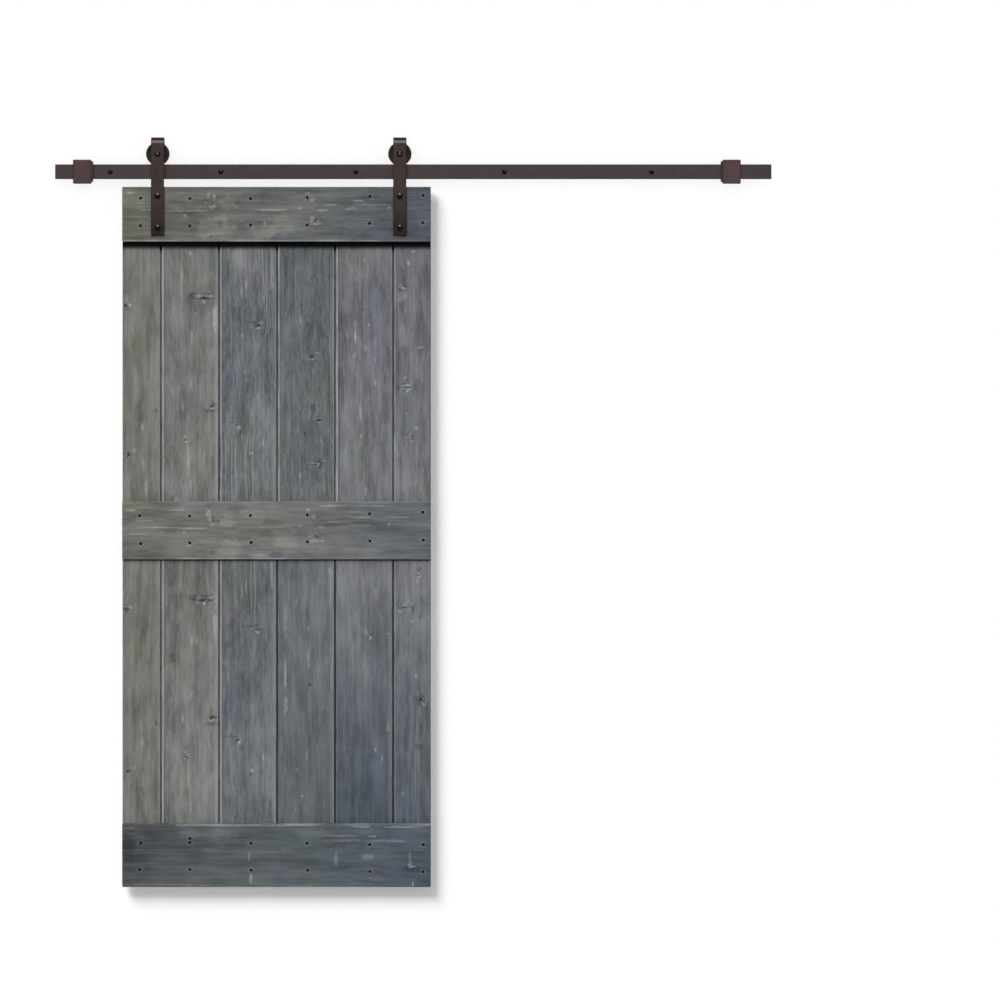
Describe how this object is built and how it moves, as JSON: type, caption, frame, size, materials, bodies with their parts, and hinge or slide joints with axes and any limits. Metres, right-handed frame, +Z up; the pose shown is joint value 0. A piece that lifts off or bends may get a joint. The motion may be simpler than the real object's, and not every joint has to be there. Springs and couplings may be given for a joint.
{
  "type": "sliding barn door with wall track",
  "caption": "Ledged plank door hung from strap hangers whose grooved wheels roll along a flat wall track between clamped end stops.",
  "frame": {"origin": "centre of the middle standoff's back face, on the wall plane", "axes": "+X right along the track as seen from the front, +Y into the wall, +Z up"},
  "size_m": [2.184, 0.1105, 2.2851],
  "materials": {
    "plank_wood": "weathered grey stain",
    "ledge_wood": "weathered grey stain",
    "bronze_steel": "dark bronze powder coat",
    "black_steel": "black oxide",
    "wheel_steel": "satin black",
    "bearing_steel": "ground steel",
    "stop_rubber": "matt"
  },
  "bodies": {
    "track": {"track_bar": "bronze_steel", "standoff_1": "bronze_steel", "lag_bolt_1": "black_steel", "standoff_2": "bronze_steel", "lag_bolt_2": "black_steel", "standoff_3": "bronze_steel", "lag_bolt_3": "black_steel", "standoff_4": "bronze_steel", "lag_bolt_4": "black_steel", "standoff_5": "bronze_steel", "lag_bolt_5": "black_steel", "left_stop_body": "bronze_steel", "left_stop_pad": "stop_rubber", "left_stop_clamp_plate": "bronze_steel", "left_stop_screws": "black_steel", "right_stop_body": "bronze_steel", "right_stop_pad": "stop_rubber", "right_stop_clamp_plate": "bronze_steel", "right_stop_screws": "black_steel"},
    "door": {"plank_1": "plank_wood", "plank_2": "plank_wood", "plank_3": "plank_wood", "plank_4": "plank_wood", "plank_5": "plank_wood", "plank_6": "plank_wood", "top_ledge": "ledge_wood", "middle_ledge": "ledge_wood", "bottom_ledge": "ledge_wood", "left_hanger": "bronze_steel", "left_hanger_bolts": "black_steel", "left_hanger_nuts": "black_steel", "left_axle_bolt": "black_steel", "left_axle_nut": "black_steel", "left_axle_spacers": "bearing_steel", "right_hanger": "bronze_steel", "right_hanger_bolts": "black_steel", "right_hanger_nuts": "black_steel", "right_axle_bolt": "black_steel", "right_axle_nut": "black_steel", "right_axle_spacers": "bearing_steel"},
    "left_wheel": {"left_wheel": "wheel_steel", "left_bearing": "bearing_steel"},
    "right_wheel": {"right_wheel": "wheel_steel", "right_bearing": "bearing_steel"}
  },
  "joints": [
    {"name": "door_slide", "type": "slide", "parent": "track", "child": "door", "axis": [1, 0, 0], "range_m": [-0.164, 0.945]},
    {"name": "left_wheel_roll", "type": "hinge", "parent": "door", "child": "left_wheel", "pos_m": [-0.604, -0.039, 0.0543], "axis": [0, 1, 0], "continuous": true},
    {"name": "right_wheel_roll", "type": "hinge", "parent": "door", "child": "right_wheel", "pos_m": [0.134, -0.039, 0.0543], "axis": [0, 1, 0], "continuous": true}
  ],
  "couplings": [
    {"joint": "left_wheel_roll", "follows": "door_slide", "rad_per_m": 31.447},
    {"joint": "right_wheel_roll", "follows": "door_slide", "rad_per_m": 31.447}
  ]
}
